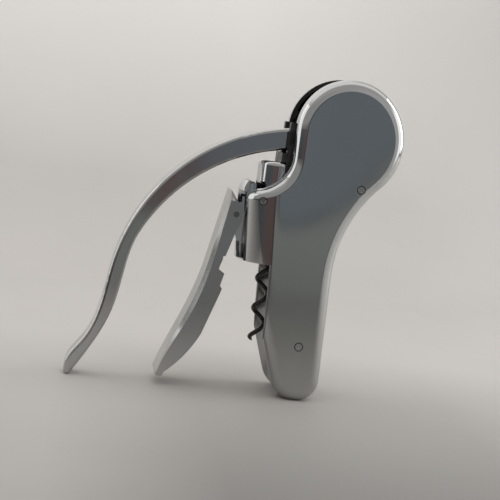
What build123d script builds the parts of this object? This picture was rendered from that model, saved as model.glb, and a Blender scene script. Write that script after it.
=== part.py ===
from build123d import *
import math
import os

# Lever corkscrew, in millimetres.  The worm's axis is X = Y = 0, Z = 0 is the mouth that takes the bottle,
# +X points to the fixed handle, -X to the lever and the clamp grip, +Z is up.

# Bottle and mouth
BOTTLE_R = 14.6
BOTTLE_GAP = 0.15
MOUTH_DEPTH = 2.5
MOUTH_WALL = 1.25

# Worm and the nut that it turns in
WORM_R = 3.0
WIRE_R = 1.15
WORM_LEAD = 15.3
WORM_REACH = 39.4
TIP_TURN = 55.0
TIP_R = 0.2
FLOOR_T = 1.5
FLOOR_HOLE_R = 9.0
NUT_H = 6.0
NUT_GROOVE_GAP = 0.15
RING_H = 1.0
RING_DEPTH = 0.5
RING_WIDTH = 2.0

# Gear sectors, rack and the lever's swing
MODULE = 2.0
TEETH = 22
PRESSURE_ANGLE = 20.0
ADDENDUM = 1.7
DEDENDUM = 2.2
BACKLASH = 0.25
LEVER_UP = 115.0
LEVER_DOWN = 4.0
SECTOR_TEETH = 9
SECTOR_HUB_R = 10.5
RACK_PITCH_X = 8.6
RACK_BACK_X = 2.0
RACK_FOOT_X = -0.3
RACK_HALF = 10.0
RACK_STRIP_X = 6.0
RACK_END = 0.65
RACK_TOP = 2.3
FORK_DEPTH = 12.9

# Carriage: plunger, worm spindle and its bearing
SPINDLE_R = 5.0
SPINDLE_LIP = 1.0
SPINDLE_GAP = 0.45
COLLAR_R = 7.0
COLLAR_H = 3.1
WASHER_T = 0.6
BUSH_H = 3.2
BUSH_R = 8.4
CHAMBER_ROOF = 1.2
PLUNGER_DROP = 17.5
PLUNGER_EDGE_R = 2.2
RACK_SCREW_R = 1.5
RACK_SCREW_HEAD_R = 2.7
RACK_SCREW_HEAD_H = 1.8
RACK_SCREW_LENGTH = 9.0

# Housing shells
BARREL_H = 39.2
BARREL_WALL = 1.8
BARREL_RIM = 3.1
RIM_ROUND = 3.2
RIM_CHAMFER = 1.3
SHELL_SKIN = 1.9
SIDE_WALL = 2.3
HEAD_WALL = 2.0
GEAR_GAP = 0.6
EDGE_R = 5.5
HEAD_BACK_R = 30.6
HEAD_BACK_TURN = 48.0
NECK_FRONT_R = 17.0
NECK_BACK_R = 65.0
HANDLE_LENGTH = 66.3
HANDLE_BACK_X = 32.4
BACK_LEAN = 1.0
FOOT_LENGTH = 21.6
FOOT_BACK_R = 11.0
FOOT_FRONT_R = 13.0
FOOT_FLAT = 0.4
FRONT_SLOPE = 18.3
SKIRT_R = 8.0
SEAM_WIDTH = 0.3
SEAM_DEPTH = 0.4
CHANNEL_FRONT_X = -0.3
CHANNEL_LEAN = 2.1
CHANNEL_WALL = 2.2
SLOT_END_ANGLE = 63.0

# Lever and its axle
ARM_HALF = 6.0
ARM_EDGE = 1.6
ARM_NOSE_R = 1.7
ARM_REACH = 122.7
ARM_OUTER_R = 93.5
ARM_BOW_X = 15.0
ARM_BOW_RISE = 0.2
ARM_ROOT_T = 10.8
ARM_MIDDLE_T = 9.3
ARM_WAIST_T = 6.8
ROOT_ANGLE = 92.0
MIDDLE_ANGLE = 130.0
WAIST_ANGLE_OUT = 168.0
WAIST_ANGLE_IN = 158.0
NOSE_ANGLE_OUT = 186.0
NOSE_ANGLE_IN = 326.0
FINGER_BACK = ((0.74, 2.3), (0.28, 1.85))
FINGER_FRONT = ((0.2, 3.6), (0.47, 5.2))
HUB_R = 12.0
AXLE_R = 3.0
AXLE_COVER = 1.9
WASHER_R = 6.0
PIVOT_BOSS_R = 6.5
PIVOT_WASHER_T = 1.2
GEAR_PIN_R = 1.5

# Clamp grip and its hinge
HINGE_Z = 22.2
HINGE_OUT = 1.6
HINGE_PIN_R = 1.45
LUG_R = 3.0
LUG_HALF = 6.9
LUG_LENGTH = 13.2
LUG_POCKET = 1.6
LUG_HEADROOM = 9.0
GRIP_HALF = 11.0
GRIP_CHEEK_GAP = 0.35
GRIP_WALL = 1.9
GRIP_CHAMFER_IN = 1.9
GRIP_CHAMFER_SIDE = 2.7
GRIP_CLOSE = 18.0

# Side shape of the clamp grip, measured from its hinge; its tip stays clear of the table
GRIP_CLEAR = 4.3
GRIP_TIP_X = -29.2
GRIP_CROWN = (-3.4, 11.4)
GRIP_CROWN_DROP = 4.9
GRIP_SHOULDER = (0.1, 6.5)
GRIP_HEEL = (2.9, 3.9)
GRIP_HEEL_OUT = (3.6, 1.0)
GRIP_HEEL_LOW = (2.9, -3.5)
GRIP_BEND = (-10.3, -24.0)
GRIP_BELLY = (-19.4, -54.2)
GRIP_PALM = (-11.2, -63.2)
GRIP_TEETH = (
    (-2.5, -37.2), (-3.6, -35.9), (-2.2, -29.7), (-5.3, -27.7),
    (-3.8, -22.7), (-3.8, -21.1), (-2.7, -21.0), (0.9, -8.2),
)

# Fasteners of the housing
SCREW_R = 1.5
SCREW_HEAD_R = 1.75
SCREW_HEAD_H = 2.2
SCREW_RING = 0.35
SCREW_RING_DEPTH = 0.5
SCREW_BOSS_R = 3.0
SCREW_REACH = 12.0
UPPER_SCREW = (39.2, 41.7)
LOWER_SCREW = (18.9, -38.7)
BARREL_PIN = (-7.8, 30.6)
BARREL_PIN_R = 1.6

# Clearances
RUN_GAP = 0.05
SIDE_GAP = 0.3
FIT_GAP = 0.05

# Places worked out from the sizes above, from the mouth upwards
MOUTH_R = BOTTLE_R + BOTTLE_GAP
PITCH_R = MODULE * TEETH / 2
GEAR_TIP_R = PITCH_R + ADDENDUM
GEAR_ROOT_R = PITCH_R - DEDENDUM
LIFT = PITCH_R * math.radians(LEVER_UP)
DROP = PITCH_R * math.radians(LEVER_DOWN)
FLOOR_Z = MOUTH_DEPTH + FLOOR_T
NUT_TOP = FLOOR_Z + NUT_H
RING_TOP = NUT_TOP + RING_H
SPINDLE_Z = RING_TOP + DROP + SPINDLE_GAP
PLUNGER_Z = SPINDLE_Z + SPINDLE_LIP
BUSH_TOP = PLUNGER_Z + BUSH_H
COLLAR_Z = BUSH_TOP + WASHER_T + RUN_GAP
CHAMBER_TOP = COLLAR_Z + COLLAR_H + WASHER_T + RUN_GAP
LEDGE_Z = CHAMBER_TOP + CHAMBER_ROOF
PIVOT_X = RACK_PITCH_X + PITCH_R
PIVOT_Z = LEDGE_Z + RACK_END + LIFT
PLUNGER_TOP = PIVOT_Z - PLUNGER_DROP

# Widths worked out from the rack and the lever
RACK_TIP_X = RACK_PITCH_X + ADDENDUM
RACK_ROOT_X = RACK_PITCH_X - DEDENDUM
FORK_HALF = ARM_HALF + SIDE_GAP
GEAR_OUT = RACK_HALF - SIDE_GAP
SLOT_HALF = RACK_HALF + SIDE_GAP
PLUNGER_R = SLOT_HALF - SIDE_GAP - FIT_GAP
BORE_R = math.hypot(RACK_TIP_X, RACK_HALF) + 2 * SIDE_GAP
BARREL_R = BORE_R + BARREL_WALL
BODY_HALF = BARREL_R + FIT_GAP + SHELL_SKIN
HEAD_R = GEAR_TIP_R + GEAR_GAP + HEAD_WALL
INSIDE_HALF = BODY_HALF - SIDE_WALL
SHELL_TOP = BARREL_H - BARREL_RIM
LAND_HALF = SLOT_HALF - FIT_GAP
BOSS_Y = GEAR_OUT + 2 * RUN_GAP + PIVOT_WASHER_T
AXLE_HALF = BODY_HALF - AXLE_COVER
FAR = 200.0


def front_x(z):
    """X of the barrel's leaning front line at height z."""
    lean = (BODY_HALF - MOUTH_R - MOUTH_WALL) / BARREL_H
    return -(MOUTH_R + MOUTH_WALL) - lean * z


HINGE_X = front_x(HINGE_Z) - HINGE_OUT


def polar(centre, radius, degrees):
    """Point of the XZ plane at a distance and an angle from a centre."""
    angle = math.radians(degrees)
    return (centre[0] + radius * math.cos(angle), centre[1] + radius * math.sin(angle))


def side_face(*edges):
    """Face in the XZ plane from edges drawn in (x, z)."""
    return Plane.XZ * make_face(Curve() + list(edges))


def slab(face, y_low, y_high):
    """XZ face made into a solid between two Y values."""
    return Pos(0, y_high, 0) * extrude(face, y_high - y_low)


def tube_y(x, z, radius, y_low, y_high):
    """Round bar along Y."""
    length = y_high - y_low
    return Pos(x, (y_low + y_high) / 2, z) * Rot(90, 0, 0) * Cylinder(radius, length)


def disc(radius, z_low, z_high):
    """Round bar along the worm's axis."""
    return Pos(0, 0, z_low) * Cylinder(radius, z_high - z_low, align=(Align.CENTER, Align.CENTER, Align.MIN))


def ring(inner, outer, z_low, z_high):
    return disc(outer, z_low, z_high) - disc(inner, z_low, z_high)


def block(x_low, x_high, y_low, y_high, z_low, z_high):
    size = (x_high - x_low, y_high - y_low, z_high - z_low)
    centre = Pos((x_low + x_high) / 2, (y_low + y_high) / 2, (z_low + z_high) / 2)
    return centre * Box(*size)


def housing_outline(mouth=True):
    """Side outline of the housing.  Without the mouth's corner its front runs smoothly into the barrel."""
    pivot = Vector(PIVOT_X, PIVOT_Z)
    lean = math.radians(BACK_LEAN)
    up = Vector(-math.sin(lean), math.cos(lean))
    out = Vector(math.cos(lean), math.sin(lean))
    foot_z = -HANDLE_LENGTH - FOOT_FLAT
    heel = Vector(HANDLE_BACK_X, foot_z)

    # The head's wider back arc leaves its round front arc smoothly
    turn_out = Vector(*polar((0, 0), 1, HEAD_BACK_TURN))
    back_centre = pivot - turn_out * (HEAD_BACK_R - HEAD_R)
    head_turn = pivot + turn_out * HEAD_R

    # The back's hollow touches the head's back arc and the leaning back line
    reach = HEAD_BACK_R + NECK_BACK_R
    start = heel + out * NECK_BACK_R - back_centre
    along = start.dot(up)
    rise = -along - math.sqrt(along ** 2 - start.dot(start) + reach ** 2)
    hollow = heel + up * rise + out * NECK_BACK_R
    on_head = back_centre + (hollow - back_centre) * (HEAD_BACK_R / reach)
    on_back = heel + up * rise
    middle = hollow + ((on_head + on_back) * 0.5 - hollow).normalized() * NECK_BACK_R
    head_middle = back_centre + ((on_head + head_turn) * 0.5 - back_centre).normalized() * HEAD_BACK_R

    head_front = Vector(PIVOT_X - HEAD_R, PIVOT_Z)
    head_top = polar((PIVOT_X, PIVOT_Z), HEAD_R, (180.0 + HEAD_BACK_TURN) / 2)
    toe = Vector(HANDLE_BACK_X - FOOT_LENGTH, foot_z)
    slope = math.tan(math.radians(FRONT_SLOPE))
    neck_low = Vector(head_front.X - NECK_FRONT_R, SHELL_TOP)
    neck_high = Vector(head_front.X, SHELL_TOP + NECK_FRONT_R)
    neck_middle = polar((neck_low.X, neck_high.Y), NECK_FRONT_R, -45.0)
    front = -2 * BODY_HALF
    if mouth:
        corner = Vector(toe.X + slope * foot_z, 0)
        handle = FilletPolyline(on_back, heel, toe, corner, radius=[FOOT_BACK_R, FOOT_FRONT_R])
        ends = Polyline(corner, (front, 0), (front, SHELL_TOP), neck_low)
    else:
        corner = Vector(toe.X + slope * (foot_z - SHELL_TOP / 3), SHELL_TOP / 3)
        leave = Vector(front, SHELL_TOP / 2)
        radii = [FOOT_BACK_R, FOOT_FRONT_R, SKIRT_R]
        handle = FilletPolyline(on_back, heel, toe, corner, leave, radius=radii)
        ends = Polyline(leave, (front, SHELL_TOP), neck_low)
    return side_face(
        ThreePointArc(head_front, head_top, head_turn),
        ThreePointArc(head_turn, head_middle, on_head),
        ThreePointArc(on_head, middle, on_back),
        handle,
        *ends.edges(),
        ThreePointArc(neck_low, neck_middle, neck_high),
        Line(neck_high, head_front),
    )


def plan_section(z):
    """Plan of the housing at one height: flat sides with a round front about the worm's axis."""
    centre = front_x(z) + BODY_HALF
    edges = [
        ThreePointArc((centre, BODY_HALF), (centre - BODY_HALF, 0), (centre, -BODY_HALF)),
        Line((centre, -BODY_HALF), (FAR, -BODY_HALF)),
        Line((FAR, -BODY_HALF), (FAR, BODY_HALF)),
        Line((FAR, BODY_HALF), (centre, BODY_HALF)),
    ]
    return Plane.XY.offset(z) * make_face(Curve() + edges)


def plan_solid():
    lean = Vector(front_x(FAR) - front_x(-FAR), 0, 2 * FAR)
    return extrude(plan_section(-FAR), amount=lean.length, dir=lean.normalized())


def rounded_edges(body):
    """The edges round both flat sides and the barrel's top, without the smooth lines between faces."""
    chosen = []
    for edge in body.edges():
        low, high = edge.start_point(), edge.end_point()
        straight = edge.geom_type == GeomType.LINE
        across = straight and math.hypot(low.X - high.X, low.Z - high.Z) < FIT_GAP
        on_round = all(abs(p.X - front_x(p.Z) - BODY_HALF) < FIT_GAP for p in (low, high))
        if not across and not (straight and on_round):
            chosen.append(edge)
    return chosen


def housing_body():
    """Both shells in one, still solid inside."""
    body = slab(housing_outline(mouth=False), -FAR, FAR) & plan_solid()
    body = fillet(rounded_edges(body), EDGE_R)
    body += plan_solid() & block(-FAR, CHANNEL_FRONT_X, -FAR, FAR, 0, SHELL_TOP - EDGE_R)
    lean = math.tan(math.radians(CHANNEL_LEAN))
    front = Polyline(
        (CHANNEL_FRONT_X, 0), (-FAR, 0), (-FAR, -HANDLE_LENGTH),
        (CHANNEL_FRONT_X + lean * HANDLE_LENGTH, -HANDLE_LENGTH), close=True,
    )
    body -= slab(side_face(*front.edges()), -FAR, FAR)
    outline = housing_outline()
    body -= slab(outline - offset(outline, -SEAM_DEPTH), -SEAM_WIDTH / 2, SEAM_WIDTH / 2)
    return body - block(-FAR, FAR, -FAR, FAR, -FAR, -HANDLE_LENGTH)


def barrel_cone(gap):
    """Outside of the barrel, a little wider at the top."""
    cone = Cone(MOUTH_R + MOUTH_WALL + gap, BARREL_R + gap, BARREL_H)
    return Pos(0, 0, BARREL_H / 2) * cone


def housing_inside():
    """Room inside the shells: head, back and handle, the barrel's seat and the neck channel."""
    step = EDGE_R / 2
    cavity = slab(offset(housing_outline(), -HEAD_WALL), step - INSIDE_HALF, INSIDE_HALF - step)
    cavity += slab(offset(housing_outline(), -HEAD_WALL - step), -INSIDE_HALF, INSIDE_HALF)
    cavity -= disc(MOUTH_R + CHANNEL_WALL, -FAR, 0)
    cavity -= block(-FAR, CHANNEL_FRONT_X + SIDE_WALL, -FAR, FAR, -FAR, 0)
    cavity += barrel_cone(FIT_GAP) + disc(BARREL_R + FIT_GAP, BARREL_H, BARREL_H + SIDE_GAP)
    return cavity + disc(MOUTH_R, -FAR, 0)


def slot():
    """Opening between the two shells, from the barrel's foot up the front and over the head."""
    end_x = polar((PIVOT_X, PIVOT_Z), HEAD_R, SLOT_END_ANGLE)[0]
    path = Polyline(
        (-FAR, -FAR), (-MOUTH_R / 2, -FAR), (-MOUTH_R / 2, SHELL_TOP), (BORE_R, SHELL_TOP),
        (BORE_R, PIVOT_Z), (end_x, PIVOT_Z), (end_x, FAR), (-FAR, FAR), close=True,
    )
    return slab(side_face(*path.edges()), -SLOT_HALF, SLOT_HALF)


def housing_shells(body):
    """The two half shells, with bosses for the axle and the screws, split at Y = 0."""
    shell = body - housing_inside() - slot()
    wall = INSIDE_HALF + FIT_GAP
    for side in (-1, 1):
        low, high = sorted((side * BOSS_Y, side * wall))
        shell += tube_y(PIVOT_X, PIVOT_Z, PIVOT_BOSS_R, low, high)
    for x, z in (UPPER_SCREW, LOWER_SCREW):
        shell += tube_y(x, z, SCREW_BOSS_R, -wall, wall) - disc(MOUTH_R, -FAR, 0)
        shell -= tube_y(x, z, SCREW_R, -FAR, SCREW_REACH)
        shell -= tube_y(x, z, SCREW_HEAD_R, -FAR, SCREW_HEAD_H - BODY_HALF)
        shell -= tube_y(x, z, SCREW_HEAD_R + SCREW_RING, -FAR, SCREW_RING_DEPTH - BODY_HALF)
    shell -= tube_y(PIVOT_X, PIVOT_Z, AXLE_R, -AXLE_HALF, AXLE_HALF)
    for side in (-1, 1):
        shell -= barrel_pin_hole(side)
    near = shell & block(-FAR, FAR, -FAR, 0, -FAR, FAR)
    far = shell & block(-FAR, FAR, 0, FAR, -FAR, FAR)
    return [max(half.solids(), key=lambda solid: solid.volume) for half in (near, far)]


def surface_y(x, z):
    """Half width of the housing's round front at a place on it."""
    return math.sqrt(BODY_HALF ** 2 - min(0.0, x - front_x(z) - BODY_HALF) ** 2)


def barrel_pin_span(side):
    """Y limits of a pin that ties a shell to the barrel."""
    outside = surface_y(*BARREL_PIN) + SCREW_RING_DEPTH
    inside = math.sqrt(BARREL_R ** 2 - BARREL_PIN[0] ** 2) - BARREL_WALL + SCREW_RING
    return sorted((side * inside, side * outside))


def barrel_pin_hole(side):
    low, high = barrel_pin_span(side)
    hole = tube_y(*BARREL_PIN, BARREL_PIN_R, low, high)
    edge = side * (surface_y(*BARREL_PIN) - SCREW_RING_DEPTH)
    low, high = sorted((edge, side * FAR))
    return hole + tube_y(*BARREL_PIN, BARREL_PIN_R + SCREW_RING, low, high)


def barrel_pins(body):
    pins = []
    for side in (-1, 1):
        pins.append(tube_y(*BARREL_PIN, BARREL_PIN_R, *barrel_pin_span(side)) & body)
    return pins


def housing_screws(body):
    screws = []
    for x, z in (UPPER_SCREW, LOWER_SCREW):
        screw = tube_y(x, z, SCREW_R, -BODY_HALF, SCREW_REACH)
        screw += tube_y(x, z, SCREW_HEAD_R, -BODY_HALF, SCREW_HEAD_H - BODY_HALF)
        screws.append(screw & body)
    return screws


def lug_face():
    """Side shape of the hinge lug on the barrel's front."""
    wall_x = -BORE_R + SIDE_GAP
    low_z = HINGE_Z - LUG_LENGTH
    nose = ThreePointArc(
        (HINGE_X, HINGE_Z + LUG_R), polar((HINGE_X, HINGE_Z), LUG_R, 135.0), (HINGE_X - LUG_R, HINGE_Z),
    )
    rib = Polyline(
        (HINGE_X - LUG_R, HINGE_Z), (front_x(low_z) - SIDE_GAP, low_z), (wall_x, low_z),
        (wall_x, HINGE_Z + LUG_R), (HINGE_X, HINGE_Z + LUG_R),
    )
    return side_face(nose, *rib.edges()) - Plane.XZ * Pos(HINGE_X, HINGE_Z) * Circle(HINGE_PIN_R)


def barrel():
    """Tube that guides the carriage, with the mouth for the bottle and the lug for the clamp grip."""
    land = plan_solid() & block(-FAR, 0, -LAND_HALF, LAND_HALF, 0, BARREL_H)
    tube = barrel_cone(0) + land
    foot_r = MOUTH_R + MOUTH_WALL / 2
    wide = BODY_HALF + 1
    rim_r = BORE_R + RIM_CHAMFER + FIT_GAP
    rim_low = BARREL_H - RIM_ROUND
    rim_middle = (wide - (wide - rim_r) * 0.3, BARREL_H - RIM_ROUND * 0.3)
    profile = [
        Line((0, 0), (foot_r, 0)),
        Line((foot_r, 0), (wide, MOUTH_DEPTH + FLOOR_T)),
        Line((wide, MOUTH_DEPTH + FLOOR_T), (wide, rim_low)),
        ThreePointArc((wide, rim_low), rim_middle, (rim_r, BARREL_H)),
        Line((rim_r, BARREL_H), (0, BARREL_H)),
        Line((0, BARREL_H), (0, 0)),
    ]
    tube &= revolve(side_face(*profile), Axis.Z)
    for side in (-1, 1):
        low, high = sorted((side * LUG_HALF, side * FAR))
        pocket_x = HINGE_X + LUG_R + LUG_POCKET
        tube -= block(-FAR, pocket_x, low, high, HINGE_Z - LUG_LENGTH, HINGE_Z + LUG_HEADROOM)
    tube += slab(lug_face(), -LUG_HALF, LUG_HALF)
    tube -= disc(MOUTH_R, -1, MOUTH_DEPTH)
    tube -= disc(FLOOR_HOLE_R, 0, FLOOR_Z)
    tube -= disc(BORE_R, FLOOR_Z, BARREL_H + 1)
    tube -= disc(BORE_R + RING_DEPTH, NUT_TOP, RING_TOP)
    tube -= Pos(0, 0, BARREL_H - RIM_CHAMFER / 2) * Cone(BORE_R, BORE_R + RIM_CHAMFER, RIM_CHAMFER)
    for side in (-1, 1):
        tube -= tube_y(*BARREL_PIN, BARREL_PIN_R, *barrel_pin_span(side))
    return tube


def worm_angle(z):
    """Direction of the worm's wire from the axis at height z, at rest."""
    return 180.0 + 360.0 * (z + WORM_REACH) / WORM_LEAD


def worm_sweep(z_low, z_high, wire_r):
    """Round wire wound about the axis."""
    path = Helix(WORM_LEAD, z_high - z_low, WORM_R)
    path = Pos(0, 0, z_low) * Rot(0, 0, worm_angle(z_low)) * path
    section = Plane(origin=path @ 0, z_dir=path % 0) * Circle(wire_r)
    return sweep(section, path=path, is_frenet=True)


def worm():
    """Open wire screw with a sharpened, turned-in tip."""
    wire = worm_sweep(-WORM_REACH, SPINDLE_Z + 2 * WIRE_R, WIRE_R)
    wire &= block(-FAR, FAR, -FAR, FAR, -FAR, SPINDLE_Z)
    sections = []
    for share, radius in ((0.0, WIRE_R), (0.5, 0.75 * WIRE_R), (1.0, TIP_R)):
        z = -WORM_REACH - share * TIP_TURN / 360.0 * WORM_LEAD
        angle = math.radians(worm_angle(z))
        out = WORM_R - 0.7 * share * (WIRE_R - TIP_R)
        climb = WORM_LEAD / (2 * math.pi * WORM_R)
        place = Vector(out * math.cos(angle), out * math.sin(angle), z)
        along = Vector(-math.sin(angle), math.cos(angle), climb)
        sections.append(Plane(origin=place, z_dir=along) * Circle(radius))
    return wire + loft(sections)


def worm_nut():
    """Plug in the barrel's floor; its slanted hole makes the worm turn as it slides."""
    nut = disc(BORE_R - FIT_GAP, FLOOR_Z, NUT_TOP) + disc(FLOOR_HOLE_R - FIT_GAP, MOUTH_DEPTH, FLOOR_Z)
    return nut - worm_sweep(MOUTH_DEPTH - 2 * WIRE_R, NUT_TOP + 2 * WIRE_R, WIRE_R + NUT_GROOVE_GAP)


def nut_ring():
    return ring(BORE_R - RING_WIDTH, BORE_R + RING_DEPTH - FIT_GAP, NUT_TOP, RING_TOP)


def worm_spindle():
    """Head of the worm: journal and collar."""
    journal = disc(SPINDLE_R, SPINDLE_Z, CHAMBER_TOP - RUN_GAP)
    return journal + disc(COLLAR_R, COLLAR_Z, COLLAR_Z + COLLAR_H)


def thrust_washers():
    low = ring(SPINDLE_R + RUN_GAP, COLLAR_R, BUSH_TOP, BUSH_TOP + WASHER_T)
    high = ring(SPINDLE_R + RUN_GAP, COLLAR_R, CHAMBER_TOP - WASHER_T, CHAMBER_TOP)
    return [low, high]


def worm_bush():
    return ring(SPINDLE_R + RUN_GAP, BUSH_R, PLUNGER_Z, BUSH_TOP)


def rack_screw_places():
    return (LEDGE_Z + 3 * RACK_SCREW_HEAD_R, PLUNGER_TOP - 3 * RACK_SCREW_HEAD_R)


def bar_x(z, radius, x_low, x_high):
    """Round bar along X in the mid-plane."""
    return Pos((x_low + x_high) / 2, 0, z) * Rot(0, 90, 0) * Cylinder(radius, x_high - x_low)


def carriage_plunger():
    """Round plunger with a flat back for the rack and a chamber for the worm's spindle."""
    plunger = disc(PLUNGER_R, PLUNGER_Z, PLUNGER_TOP)
    top = plunger.edges().filter_by(GeomType.CIRCLE).sort_by(Axis.Z)[-1]
    plunger = fillet(top, PLUNGER_EDGE_R)
    plunger -= block(RACK_BACK_X, FAR, -FAR, FAR, LEDGE_Z, FAR)
    for side in (-1, 1):
        low, high = sorted((side * (ARM_HALF - SIDE_GAP), side * FAR))
        tooth_x = PIVOT_X - GEAR_TIP_R - SIDE_GAP
        plunger -= block(tooth_x, FAR, low, high, LEDGE_Z - 2 * MODULE, LEDGE_Z)
    plunger -= disc(BUSH_R, PLUNGER_Z, BUSH_TOP)
    plunger -= disc(COLLAR_R + 2 * RUN_GAP, BUSH_TOP, CHAMBER_TOP)
    for z in rack_screw_places():
        plunger -= bar_x(z, RACK_SCREW_R, RACK_STRIP_X - RACK_SCREW_LENGTH, FAR)
    return plunger


def rack_profile():
    """Side view of the toothed bar."""
    pitch = math.pi * MODULE
    half = (pitch / 2 - BACKLASH) / 2
    slope = math.tan(math.radians(PRESSURE_ANGLE))
    top = PIVOT_Z + RACK_TOP
    first = math.floor((LEDGE_Z - PIVOT_Z) / pitch)
    points = [(RACK_BACK_X, top), (RACK_BACK_X, LEDGE_Z - pitch), (RACK_ROOT_X, LEDGE_Z - pitch)]
    for step in range(first, 1):
        middle = PIVOT_Z + step * pitch
        at_root = half + DEDENDUM * slope
        at_tip = half - ADDENDUM * slope
        points += [(RACK_ROOT_X, middle - at_root), (RACK_TIP_X, middle - at_tip)]
        points += [(RACK_TIP_X, middle + at_tip), (RACK_ROOT_X, middle + at_root)]
    points.append((RACK_ROOT_X, top))
    return side_face(*Polyline(*points, close=True).edges())


def rack():
    """Forked rack: two toothed prongs that straddle the lever, on a bar behind the plunger."""
    bar = slab(rack_profile(), -RACK_HALF, RACK_HALF)
    bar &= block(-FAR, FAR, -FAR, FAR, LEDGE_Z, PIVOT_Z + RACK_TOP)
    fork_z = PIVOT_Z - FORK_DEPTH
    bar += block(RACK_FOOT_X, RACK_BACK_X, -RACK_HALF + SIDE_GAP, RACK_HALF - SIDE_GAP, PLUNGER_TOP, fork_z)
    bar -= block(-FAR, FAR, -FORK_HALF, FORK_HALF, fork_z, FAR)
    bar -= block(RACK_STRIP_X, FAR, -FORK_HALF, FORK_HALF, -FAR, FAR)
    for z in rack_screw_places():
        bar -= bar_x(z, RACK_SCREW_R, -FAR, FAR)
        bar -= bar_x(z, RACK_SCREW_HEAD_R, RACK_STRIP_X - RACK_SCREW_HEAD_H, FAR)
    return bar


def rack_screws():
    screws = []
    for z in rack_screw_places():
        screw = bar_x(z, RACK_SCREW_R, RACK_STRIP_X - RACK_SCREW_LENGTH, RACK_STRIP_X)
        screws.append(screw + bar_x(z, RACK_SCREW_HEAD_R, RACK_STRIP_X - RACK_SCREW_HEAD_H, RACK_STRIP_X))
    return screws


def flank_angle(radius):
    """Degrees from a tooth's middle to its involute flank at a radius."""
    base = PITCH_R * math.cos(math.radians(PRESSURE_ANGLE))
    half = (math.pi * MODULE / 2 - BACKLASH) / 2 / PITCH_R
    pressure = math.radians(PRESSURE_ANGLE)
    there = math.acos(min(1.0, base / radius))
    return math.degrees(half + math.tan(pressure) - pressure - math.tan(there) + there)


def gear_tooth(middle):
    """One tooth, with involute flanks, about an angle in degrees."""
    pivot = (PIVOT_X, PIVOT_Z)
    base = PITCH_R * math.cos(math.radians(PRESSURE_ANGLE))
    deep = GEAR_ROOT_R - ADDENDUM / 2

    def flank(radius, side):
        return polar(pivot, radius, middle + side * flank_angle(radius))

    half_foot = flank_angle(base)
    feet = [polar(pivot, deep, middle - half_foot), polar(pivot, deep, middle + half_foot)]
    tip = ThreePointArc(flank(GEAR_TIP_R, -1), polar(pivot, GEAR_TIP_R, middle), flank(GEAR_TIP_R, 1))
    edges = [tip, Line(*feet)]
    for side, foot in zip((-1, 1), feet):
        half_way = flank((base + GEAR_TIP_R) / 2, side)
        edges.append(ThreePointArc(flank(base, side), half_way, flank(GEAR_TIP_R, side)))
        edges.append(Line(foot, flank(base, side)))
    return side_face(*edges)


def gear_pin_places():
    pivot = (PIVOT_X, PIVOT_Z)
    return (polar(pivot, 1.15 * HUB_R, 190.0), polar(pivot, 0.68 * HUB_R, 245.0))


def sector_gear(side):
    """Toothed sector on one side of the lever's root."""
    pivot = Plane.XZ * Pos(PIVOT_X, PIVOT_Z)
    pitch = 360.0 / TEETH
    start = 180.0 - 1.5 * pitch
    end = start + (SECTOR_TEETH + 1) * pitch
    wedge = [(0, 0)]
    for step in range(5):
        wedge.append(polar((0, 0), 2 * PITCH_R, start + (end - start) * step / 4))
    plate = pivot * (Circle(GEAR_ROOT_R) & make_face(Polyline(*wedge, close=True)))
    plate += pivot * Circle(SECTOR_HUB_R)
    for tooth in range(SECTOR_TEETH):
        plate += gear_tooth(180.0 + (tooth - 0.5) * pitch)
    plate -= pivot * Circle(AXLE_R + RUN_GAP)
    low, high = sorted((side * ARM_HALF, side * GEAR_OUT))
    gear = slab(plate, low, high)
    for x, z in gear_pin_places():
        gear -= tube_y(x, z, GEAR_PIN_R, -FAR, FAR)
    return gear


def gear_pins():
    return [tube_y(x, z, GEAR_PIN_R, -GEAR_OUT, GEAR_OUT) for x, z in gear_pin_places()]


def bowed_line(low, high, bends):
    """Places on the straight line between two points, each pushed to +X by its bend."""
    places = []
    for share, bend in bends:
        places.append((low[0] + (high[0] - low[0]) * share + bend, low[1] + (high[1] - low[1]) * share))
    return places


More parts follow.
